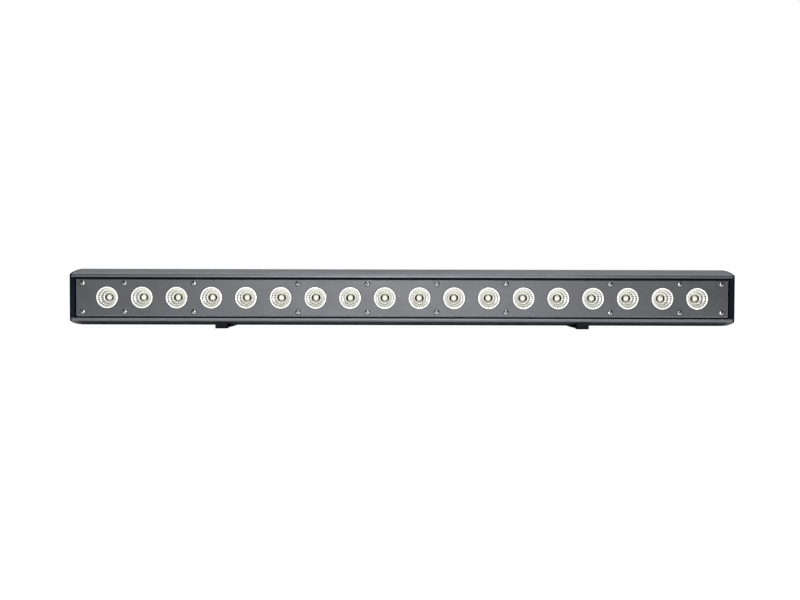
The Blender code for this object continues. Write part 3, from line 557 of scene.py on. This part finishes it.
def panel_screws():
    """Countersunk screws with a cross recess, each turned its own way, and their tapped bars."""
    shape = [(0.0, 2.1), (1.0, 2.13), (1.9, 2.26), (2.7, 2.5), (3.3, 2.8), (3.8, 3.2), (2.1, 4.5),
             (2.0, 9.5), (0.0, 9.5)]
    for number, (name, row) in enumerate((("lower", -SCREW_ROW), ("upper", SCREW_ROW))):
        parts = [box((-TAPPED_BAR_END, TAPPED_BAR_END), (8.7, 11.7), (row - 3.6, row + 3.6))]
        for index, x in enumerate(screw_xs()):
            head = lathe(shape, (0, 0, 0), "Y", 40)
            arms = [box((-2.0, 2.0), (1.5, 3.7), (-0.55, 0.55)),
                    box((-0.55, 0.55), (1.5, 3.7), (-2.0, 2.0))]
            head = boolean("DIFFERENCE", head, *arms)
            spin = Matrix.Rotation(radians(137.5 * (index + 10 * number)), 4, "Y")
            bmesh.ops.transform(head, verts=head.verts,
                                matrix=Matrix.Translation((x, 0, row)) @ spin)
            parts.append(head)
        screws = merged(parts)
        # Faces deep in each cross recess get the painted shade.
        for face in screws.faces:
            centre = face.calc_center_median()
            deep = abs(face.normal.y) < 0.1 and centre.y < 3.8 or abs(centre.y - 3.7) < 0.01
            face.material_index = 1 if deep and abs(centre.z - row) < 2.1 else 0
        piece(f"panel_screws_{name}", screws, [SCREW, RECESS_SHADE], nodes=[f"{name}_screw_strip"],
              slot="screw_steel")


def optic_mesh():
    """One lens about its own axis: rim, treads and fluted risers going down to moat and core."""
    rings = [  # radius, depth, height of the facets, number of facets
        (1.6, 14.0, 0.0, 0), (3.0, 14.4, 0.0, 0), (3.7, 15.1, 0.0, 0), (4.1, 16.2, 0.0, 0),
        (4.3, 18.6, 0.0, 0), (5.1, 20.4, 0.0, 0), (6.4, 17.6, 0.0, 0), (6.65, 15.8, 0.0, 0),
        (7.2, 14.9, 0.0, 0),
        (8.6, 14.6, 0.0, 0), (9.1, 14.3, 0.0, 0),
        (9.3, 13.8, 0.2, INNER_FLUTES), (9.8, 11.3, 0.3, INNER_FLUTES),
        (10.3, 8.8, 0.2, INNER_FLUTES),
        (10.5, 8.45, 0.0, 0), (12.8, 8.15, 0.0, 0),
        (13.0, 7.8, -0.2, OUTER_FLUTES), (13.5, 5.4, -0.3, OUTER_FLUTES),
        (14.0, 3.1, -0.2, OUTER_FLUTES),
        (14.2, 2.75, 0.0, 0), (14.9, 2.55, 0.0, 0),
        (15.7, 2.5, 0.0, 0), (16.05, 2.6, 0.0, 0), (16.2, 2.9, 0.0, 0), (16.2, 5.3, 0.0, 0),
        (FLANGE_RADIUS, 5.4, 0.0, 0), (FLANGE_RADIUS, 6.1, 0.0, 0), (15.4, 6.1, 0.0, 0),
        (15.0, 9.4, 0.0, 0),
        (11.6, 15.4, 0.0, 0), (7.4, 22.0, 0.0, 0), (7.0, 24.0, 0.0, 0),
        (4.5, 24.0, 0.0, 0), (4.0, 20.0, 0.0, 0),
    ]
    bm = bmesh.new()
    loops = []
    for radius, depth, facet, flutes in rings:
        loop = []
        for step in range(OPTIC_STEPS):
            angle = 2 * pi * step / OPTIC_STEPS
            deep = depth + facet * cos(flutes * angle)
            loop.append(bm.verts.new((radius * cos(angle), deep, radius * sin(angle))))
        loops.append(loop)
    for near, far in zip(loops, loops[1:]):
        for i in range(OPTIC_STEPS):
            j = (i + 1) % OPTIC_STEPS
            bm.faces.new((near[i], near[j], far[j], far[i]))
    for loop, depth in ((loops[0], 13.9), (loops[-1], 20.0)):
        tip = bm.verts.new((0.0, depth, 0.0))
        for i in range(OPTIC_STEPS):
            bm.faces.new((loop[i], loop[(i + 1) % OPTIC_STEPS], tip))
    bmesh.ops.recalc_face_normals(bm, faces=bm.faces)
    bmesh.ops.scale(bm, verts=bm.verts, vec=(MM, MM, MM))
    mesh = bpy.data.meshes.new("lens_optic")
    bm.to_mesh(mesh)
    bm.free()
    return mesh


def lenses():
    optic = optic_mesh()
    for number in range(1, LENSES + 1):
        name = f"lens_{number:02d}"
        place(f"{name}_optic", optic, OPTIC, nodes=[name], slot="lens_acrylic",
              origin=(lens_x(number), 0.0, 0.0))


# ---------------------------------------------------------------- rear

def rear_plate():
    """Rear cover with softened cutouts and its screws."""
    piece("rear_plate", cad_mesh("rear_cover"), PANEL, nodes=["rear_cover"], slot="panel_finish",
          bevel=0.2)
    heads = []
    for index in range(9):
        x = (index - 4) * 120.0
        for h in (-38.9, 38.9):
            heads.append(screw_head((x, 75.9, h), "Y", 1, 3.0, 47 * index + h))
    piece("rear_plate_screws", merged(heads), BLACK_SCREW, slot="screw_steel")


def power_inlet():
    top = MAINS_TOP
    flange = prism(rounded((INLET_X, 0), 15.5, 18.0, 2.0), "Y", FACE, top)
    body = box((INLET_X - 13.5, INLET_X + 13.5), (53.0, FACE + 1), (-16.0, 16.0))
    outline = [(-12, -13.5), (12, -13.5), (12, -1.5), (8, 2.5), (-8, 2.5), (-12, -1.5)]
    socket = prism([(INLET_X + x, h) for x, h in outline], "Y", 61.3, top + 2)
    pocket = box((INLET_X - 10, INLET_X + 10), (57.0, top + 2), (5.7, 13.9))
    shell = boolean("DIFFERENCE", boolean("UNION", flange, body), merged([socket, pocket]))
    piece("mains_inlet", shell, NYLON, nodes=["power_inlet"], slot="socket_plastic", bevel=0.35)
    pins = [box((INLET_X + x - 1, INLET_X + x + 1), (60.0, top - 5.2), (h - 2, h + 2))
            for x, h in ((-7, -6.5), (0, -3.5), (7, -6.5))]
    piece("mains_inlet_pins", merged(pins), SCREW, slot="screw_steel", bevel=0.4)
    drawer = box((INLET_X - 9.7, INLET_X + 9.7), (57.3, top), (6.0, 13.6))
    tab = box((INLET_X - 5, INLET_X + 5), (FACE + 1, FACE + 3.6), (8.6, 11.0))
    piece("fuse_carrier", boolean("UNION", drawer, tab), NYLON, "fuse_drawer", ["fuse_drawer"],
          "socket_plastic", bevel=0.3)


def power_outlet():
    top = MAINS_TOP
    flange = prism(rounded((OUTLET_X, 0), 15.5, 12.5, 2.0), "Y", FACE, top)
    body = box((OUTLET_X - 13.5, OUTLET_X + 13.5), (53.0, FACE + 1), (-10.5, 10.5))
    moat = boolean("DIFFERENCE",
                   prism(rounded((OUTLET_X, 0), 12.4, 8.4, 1.5), "Y", 64.0, top + 2),
                   prism(rounded((OUTLET_X, 0), 10.2, 6.2, 1.2), "Y", 62.0, top + 4))
    slots = [box((OUTLET_X + x - 1.3, OUTLET_X + x + 1.3), (62.0, top + 2), (h - 2.6, h + 2.6))
             for x, h in ((-7, -1.5), (0, 1.5), (7, -1.5))]
    shell = boolean("DIFFERENCE", boolean("UNION", flange, body), merged([moat, *slots]))
    piece("mains_outlet", shell, NYLON, nodes=["power_outlet"], slot="socket_plastic", bevel=0.3)


def contacts(centre_x, radius, start, end, turn):
    places = arc((centre_x, 0), 4.0, turn, turn + 240, 2)
    return [rod(radius, (x, 0, h), "Y", start, end, 24) for x, h in places]


def data_sockets():
    top = DATA_TOP
    flange = prism(rounded((DMX_IN_X, 0), 13.0, 15.5, 2.0), "Y", FACE, top)
    barrel = rod(11.6, (DMX_IN_X, 0, 0), "Y", 57.0, FACE + 1)
    well = rod(8.0, (DMX_IN_X, 0, 0), "Y", top - 14.5, top + 2, 64)
    shell = boolean("DIFFERENCE", boolean("UNION", flange, barrel), well)
    piece("data_inlet", shell, ZINC, nodes=["dmx_inlet"], slot="socket_metal", bevel=0.3)
    piece("data_inlet_pins", merged(contacts(DMX_IN_X, 1.2, top - 15, top - 5.2, 30)), PIN,
          slot="socket_metal", bevel=0.4)

    flange = prism(rounded((DMX_OUT_X, 0), 13.0, 15.5, 2.0), "Y", FACE, top)
    barrel = rod(11.6, (DMX_OUT_X, 0, 0), "Y", 57.0, FACE + 1)
    hood = box((DMX_OUT_X - 5.6, DMX_OUT_X + 5.6), (62.0, FACE + 1), (6.0, 14.6))
    well = rod(8.6, (DMX_OUT_X, 0, 0), "Y", top - 10, top + 2, 64)
    pocket = box((DMX_OUT_X - 4.6, DMX_OUT_X + 4.6), (66.0, top + 2), (9.6, 13.6))
    shell = boolean("DIFFERENCE", boolean("UNION", flange, barrel, hood), well, pocket)
    piece("data_outlet", shell, ZINC, nodes=["dmx_outlet"], slot="socket_metal", bevel=0.3)
    insert = rod(7.1, (DMX_OUT_X, 0, 0), "Y", top - 10.5, top - 0.3, 64)
    holes = contacts(DMX_OUT_X, 1.4, top - 10, top + 2, -30)
    piece("data_outlet_insert", boolean("DIFFERENCE", insert, merged(holes)), NYLON,
          slot="socket_plastic", bevel=0.25)
    latch = box((DMX_OUT_X - 4.3, DMX_OUT_X + 4.3), (68.5, top + 1.7), (9.9, 13.3))
    piece("data_latch", latch, SCREW, "dmx_latch", ["dmx_latch"], "screw_steel", bevel=0.5)

    heads = []
    for x, half, height, radius in ((DMX_IN_X, 10.2, 12.6, 1.9), (DMX_OUT_X, 10.2, -12.6, 1.9),
                                    (OUTLET_X, 13.2, 10.2, 1.4)):
        for sign in (-1, 1):
            middle = (x + sign * half, top + 0.1, sign * height)
            heads.append(screw_head(middle, "Y", 1, radius, 33 * sign))
    piece("socket_screws", merged(heads), SCREW, slot="screw_steel")


def menu():
    """Display with a pale readout behind dark glazing, and four dished buttons in bezels."""
    window = prism(rounded((DISPLAY_X, 0), 26.7, 14.7, 1.3), "Y", 74.1, 76.2)
    piece("display_glass", window, WINDOW, nodes=["display_window"], slot="display_glazing",
          bevel=0.3)
    frame_ring = boolean("DIFFERENCE",
                         prism(rounded((DISPLAY_X, 0), 29.0, 17.0, 2.0), "Y", 75.9, 77.0),
                         prism(rounded((DISPLAY_X, 0), 24.5, 12.5, 1.0), "Y", 75.0, 78.0))
    frame_ring = boolean("DIFFERENCE", frame_ring,
                         prism(rounded((DISPLAY_X, 0), 26.9, 14.9, 1.3), "Y", 75.0, 76.35))
    piece("display_bezel", frame_ring, NYLON, slot="socket_plastic", bevel=0.3)
    readout = prism(rounded((DISPLAY_X, 0), 19.0, 8.0, 0.5), "Y", 76.22, 76.26)
    piece("display_readout", readout, READOUT, slot="display_glazing")
    shape = [(0.0, 67.5), (1.5, 67.5), (1.5, 72.6), (5.2, 72.6), (5.2, 73.7), (4.0, 73.7),
             (4.0, 77.1), (3.85, 77.4), (3.5, 77.6), (2.8, 77.62), (1.6, 77.45), (0.0, 77.35)]
    rim = [(4.45, 75.9), (5.6, 75.9), (5.6, 76.3), (5.3, 76.55), (4.7, 76.6), (4.45, 76.4)]
    for number, x in enumerate(BUTTON_XS, 1):
        name = f"menu_button_{number}"
        piece(f"{name}_cap", lathe(shape, (x, 0, 0), "Y", 48), NYLON, name, [name],
              "socket_plastic")
    rims = [lathe(rim, (x, 0, 0), "Y", 48) for x in BUTTON_XS]
    piece("menu_button_rims", merged(rims), ZINC, slot="socket_metal")


def safety_eye():
    foot = box((EYE_X - 14, EYE_X + 14), (FACE, FACE + 2.5), (EYE_H - 5.5, EYE_H + 5.5))
    middle = (EYE_X, FACE + 10.5)
    tip = arc(middle, 10.0, 0, 180, 40)
    outline = [*tip, (EYE_X - 10, FACE + 1), (EYE_X + 10, FACE + 1)]
    lug = prism(outline, "Z", EYE_H - 1.5, EYE_H + 1.5)
    hole = rod(6.2, (*middle, EYE_H), "Z", -3.0, 3.0)
    shape = boolean("DIFFERENCE", boolean("UNION", foot, lug), hole)
    piece("safety_lug", shape, ZINC, nodes=["safety_eye"], slot="screw_steel", bevel=0.4)
    heads = [screw_head((EYE_X + s * 11.8, FACE + 2.6, EYE_H), "Y", 1, 1.8, 20 * s)
             for s in (-1, 1)]
    piece("safety_lug_screws", merged(heads), SCREW, slot="screw_steel")


# ---------------------------------------------------------------- brackets

def hinge_block(name, x):
    half = STRAP_HALF - 2.4
    outline = [(FACE, -14.0), (FACE, -40.5), (FACE + 3, -40.5)]
    outline += arc((PIVOT_D, PIVOT_H), 7.5, -90, 90, 24) + [(FACE + 3, -24.0), (FACE + 3, -14.0)]
    block = prism(outline, "X", x - half, x + half)
    bore = rod(BOLT_HOLE, (x, PIVOT_D, PIVOT_H), "X", -half - 1, half + 1)
    piece(f"hinge_block_{name}", boolean("DIFFERENCE", block, bore), POWDER,
          nodes=[f"hinge_base_{name}"], slot="bracket_paint", bevel=0.4)
    head = screw_head((x, FACE + 3.1, -19.0), "Y", 1, 3.0, 25)
    piece(f"hinge_screw_{name}", head, SCREW, slot="screw_steel")


def bracket_strap(name, x):
    low = STRAP_TOP - STRAP_THICK
    left, right = x - STRAP_HALF, x + STRAP_HALF
    plan = [(left, STRAP_REAR), *arc((left + 4, STRAP_FRONT + 4), 4.0, 180, 270, 10),
            (x - TONGUE_HALF, TONGUE_FRONT), (x + TONGUE_HALF, TONGUE_FRONT),
            *arc((right - 4, STRAP_FRONT + 4), 4.0, 270, 360, 10), (right, STRAP_REAR)]
    strap = prism(plan, "Z", low, STRAP_TOP)
    side = [(PIVOT_D - 8.4, low), (PIVOT_D + 8.4, low), *arc((PIVOT_D, PIVOT_H), 8.4, 0, 180, 32)]
    ears = [prism(side, "X", left, left + 2.0), prism(side, "X", right - 2.0, right)]
    boss = rod(9.4, (x, CLAMP_D, low), "Z", -0.5, 0.5, 64)
    cuts = [rod(CLAMP_HOLE, (x, CLAMP_D, STRAP_TOP), "Z", -4.0, 2.0, 64),
            rod(BOLT_HOLE, (x, PIVOT_D, PIVOT_H), "X", -11.0, 11.0)]
    shape = boolean("DIFFERENCE", boolean("UNION", strap, merged([*ears, boss])), merged(cuts))
    piece(f"foot_strap_{name}", shape, POWDER, f"bracket_{name}", [f"bracket_{name}"],
          "bracket_paint", (x, PIVOT_D, PIVOT_H), 0.35)


def clamp_knob(name, x, side):
    """Six-lobed knob with a dished hub, on a steel bolt with visible thread ridges."""
    pivot = (x, PIVOT_D, PIVOT_H)
    shaft = [(0.0, -15.0), (1.9, -15.0), (2.35, -14.5)]
    for turn in range(9):
        shaft += [(2.0, -14.2 + 0.8 * turn), (2.38, -13.8 + 0.8 * turn)]
    shaft += [(2.38, 10.4), (5.6, 10.4), (5.6, 12.6), (0.0, 12.6)]
    bolt = lathe([(r, side * a) for r, a in shaft], pivot, "X", 40)
    piece(f"knob_bolt_{name}", bolt, SCREW, f"bracket_knob_{name}", [], "screw_steel")
    rim = []
    for step in range(120):
        angle = 2 * pi * step / 120
        radius = 10.6 + 0.9 * cos(6 * angle) - 0.25 * cos(12 * angle)
        rim.append((PIVOT_D + radius * cos(angle), PIVOT_H + radius * sin(angle)))
    head = prism(rim, "X", x + side * 12.4, x + side * 23.3)
    dish = lathe([(0.0, side * 22.3), (5.6, side * 22.5), (7.2, side * 24.0), (0.0, side * 24.0)],
                 pivot, "X", 64)
    piece(f"knob_grip_{name}", boolean("DIFFERENCE", head, dish), KNOB, f"bracket_knob_{name}",
          [f"bracket_knob_{name}"], "socket_plastic", pivot, 0.8)


def nut_and_washer(name, x, side):
    hexagon = arc((PIVOT_D, PIVOT_H), 4.6, 0, 300, 5)
    body = prism(hexagon, "X", x - side * 10.9, x - side * 14.3)
    bore = rod(BOLT_HOLE, (x, PIVOT_D, PIVOT_H), "X", -20.0, 20.0)
    ring = [(BOLT_HOLE, 10.3), (5.2, 10.3), (5.2, 10.95), (BOLT_HOLE, 10.95)]
    washer = lathe([(r, -side * a) for r, a in ring], (x, PIVOT_D, PIVOT_H), "X", 48)
    shape = merged([boolean("DIFFERENCE", body, bore), washer])
    piece(f"hinge_nut_{name}", shape, SCREW, f"bracket_{name}", [f"bracket_nut_{name}"],
          "screw_steel", bevel=0.2)


def rubber_feet(name, x):
    """The block on the strap's tongue, with soft edges, and the round pad at the rear."""
    piece(f"foot_block_{name}", cad_mesh(f"foot_pad_{name}_front"), RUBBER, f"bracket_{name}",
          [f"foot_pad_{name}_front"], "pad_rubber", bevel=0.5)
    low = STRAP_TOP - STRAP_THICK
    shape = [(0.0, -1.2), (7.0, -1.2), (7.5, -1.1), (7.9, -0.8), (8.4, -0.3), (0.0, -0.3)]
    piece(f"rubber_pad_{name}", lathe(shape, (x, 84.0, low), "Z", 64), RUBBER,
          f"bracket_{name}", [f"foot_pad_{name}_rear"], "pad_rubber")


def brackets():
    for name, side in (("left", -1), ("right", 1)):
        x = side * BRACKET_X
        hinge_block(name, x)
        bracket_strap(name, x)
        clamp_knob(name, x, side)
        nut_and_washer(name, x, side)
        rubber_feet(name, x)


# ---------------------------------------------------------------- inner pieces kept from CAD

def dress_inner_nodes():
    looks = {"panel_gasket": RUBBER, "power_supply": SUPPLY, "control_board": BOARD_GREEN,
             "wiring_harness": CABLE}
    for side in ("left", "middle", "right"):
        looks[f"lens_tray_{side}"] = TRAY
        looks[f"led_board_{side}"] = BOARD_WHITE
    for node, look in looks.items():
        for material_slot in frame["nodes"][node].material_slots:
            material_slot.material = look


# ---------------------------------------------------------------- studio

def studio():
    """Floor, sky and lamps; the low strip lights only the paper just in front of the lips."""
    floor = bmesh.new()
    bmesh.ops.create_grid(floor, x_segments=1, y_segments=1, size=30.0)
    mesh = bpy.data.meshes.new("floor")
    floor.to_mesh(mesh)
    floor.free()
    ground = bpy.data.objects.new("floor", mesh)
    bpy.context.collection.objects.link(ground)
    mesh.materials.append(floor_paper())
    bpy.context.scene.world = sky()
    bpy.context.scene.view_settings.view_transform = "Standard"

    lamp("key", (0.0, -1.25, 1.25), (0.0, 0.0, 0.05), (0.7, 0.5), 8.0)
    lamp("front", (-0.03, -2.0, 0.14), (0.0, 0.0, 0.05), (1.1, 0.26), 15.0)
    lamp("top", (0.0, -0.15, 1.7), (0.0, -0.15, 0.0), (1.7, 0.4), 32.0)
    lamp("floor_strip", (0.0, -0.085, 0.002), (0.0, -0.085, 0.0), (1.1, 0.06), 0.1)


def floor_paper():
    """Pale paper that the camera sees overexposed, with only a trace of the bar's shadow."""
    n = Nodes("floor_paper")
    n.set(Base_Color=(0.9, 0.9, 0.9), Roughness=0.9, Specular_IOR_Level=0.1)
    glow = n.add("ShaderNodeEmission", {"Color": (1.0, 1.0, 1.0, 1.0), "Strength": 1.06})
    seen = n.math("MULTIPLY", n.add("ShaderNodeLightPath").outputs["Is Camera Ray"], 0.9)
    both = n.add("ShaderNodeMixShader", {0: seen, 1: n.shader.outputs[0], 2: glow.outputs[0]})
    n.tree.links.new(both.outputs[0], n.tree.nodes["Material Output"].inputs["Surface"])
    return n.material


def sky():
    """White backdrop; its light fades with height in front and grows with height behind."""
    made = bpy.data.worlds.new("studio")
    made.use_nodes = True
    tree = made.node_tree

    def ramp(value, start, end, low, high):
        node = tree.nodes.new("ShaderNodeMapRange")
        amounts = {"From Min": start, "From Max": end, "To Min": low, "To Max": high}
        for name, amount in amounts.items():
            if isinstance(amount, bpy.types.NodeSocket):
                tree.links.new(amount, node.inputs[name])
            else:
                node.inputs[name].default_value = amount
        tree.links.new(value, node.inputs["Value"])
        return node.outputs[0]

    lit = tree.nodes["Background"]
    lit.inputs["Color"].default_value = (1.0, 1.0, 1.0, 1.0)
    seen = tree.nodes.new("ShaderNodeBackground")
    seen.inputs["Color"].default_value = (1.0, 1.0, 1.0, 1.0)
    split = tree.nodes.new("ShaderNodeSeparateXYZ")
    tree.links.new(tree.nodes.new("ShaderNodeTexCoord").outputs["Generated"], split.inputs[0])
    front = ramp(split.outputs["Z"], 0.08, 0.45, 0.42, 0.10)
    rear = ramp(split.outputs["Z"], 0.25, 0.75, 0.10, 1.35)
    tree.links.new(ramp(split.outputs["Y"], -0.3, 0.3, front, rear), lit.inputs["Strength"])
    both = tree.nodes.new("ShaderNodeMixShader")
    tree.links.new(tree.nodes.new("ShaderNodeLightPath").outputs["Is Camera Ray"], both.inputs[0])
    tree.links.new(lit.outputs[0], both.inputs[1])
    tree.links.new(seen.outputs[0], both.inputs[2])
    tree.links.new(both.outputs[0], tree.nodes["World Output"].inputs["Surface"])
    return made


def lamp(name, position, target, size, power):
    """A rectangular lamp aimed at a target, unseen by the camera; metres and watts."""
    data = bpy.data.lights.new(name, "AREA")
    data.shape = "RECTANGLE"
    data.size, data.size_y = size
    data.energy = power
    obj = bpy.data.objects.new(name, data)
    obj.location = position
    obj.visible_camera = False
    obj.rotation_euler = (Vector(target) - Vector(position)).to_track_quat("-Z", "Y").to_euler()
    bpy.context.collection.objects.link(obj)


def camera():
    """1.5 m in front of the lips, a little over the bar's centre line, tipped down and rolled."""
    data = bpy.data.cameras.new("camera")
    data.sensor_width = 36.0
    data.lens = 44.9
    data.clip_start, data.clip_end = 0.01, 100.0
    obj = bpy.data.objects.new("camera", data)
    distance, height, aside = 1.5, 0.031, -0.0032
    pitch, roll = radians(1.29), radians(0.145)
    turn = Matrix.Rotation(pi / 2 - pitch, 4, "X") @ Matrix.Rotation(roll, 4, "Z")
    obj.matrix_world = Matrix.Translation((aside, FRONT_Y - distance, AXIS_Z + height)) @ turn
    bpy.context.collection.objects.link(obj)
    bpy.context.scene.camera = obj


body_extrusion()
end_caps()
front_plate()
panel_screws()
lenses()
rear_plate()
power_inlet()
power_outlet()
data_sockets()
menu()
safety_eye()
brackets()
dress_inner_nodes()
studio()
camera()
